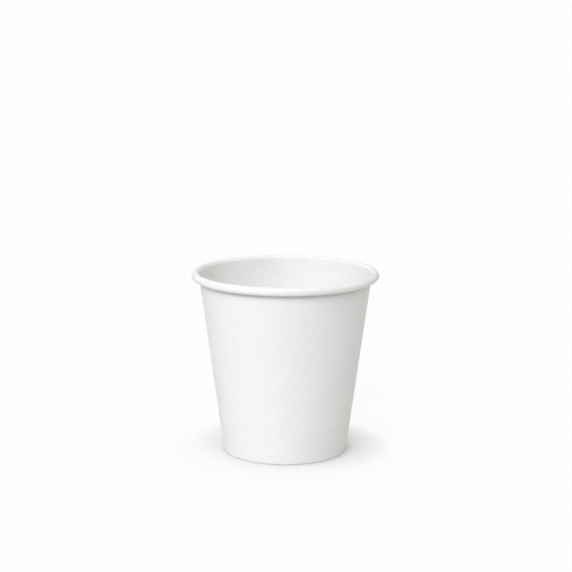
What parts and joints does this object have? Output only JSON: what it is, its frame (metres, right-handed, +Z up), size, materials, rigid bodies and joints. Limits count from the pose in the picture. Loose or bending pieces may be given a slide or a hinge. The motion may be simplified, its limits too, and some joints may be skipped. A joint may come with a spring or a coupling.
{
  "type": "paper coffee cup",
  "caption": "Small single-wall paper cup with a tapered white wall, an outward rolled brim, a lapped side seam and a recessed bottom locked in a folded foot.",
  "frame": {"origin": "on the table under the middle of the cup, at the level of the folded foot", "axes": "+Z up through the middle of the mouth; the side seam is at the back, towards +Y; the front of the picture is -Y"},
  "size_m": [0.062, 0.062, 0.0605],
  "materials": {
    "wall_paper": "white coated cupstock, smooth and matt",
    "bottom_paper": "white coated cupstock, smooth and matt"
  },
  "bodies": {
    "root": {"side_wall": "wall_paper", "bottom_disc": "bottom_paper"}
  },
  "joints": []
}
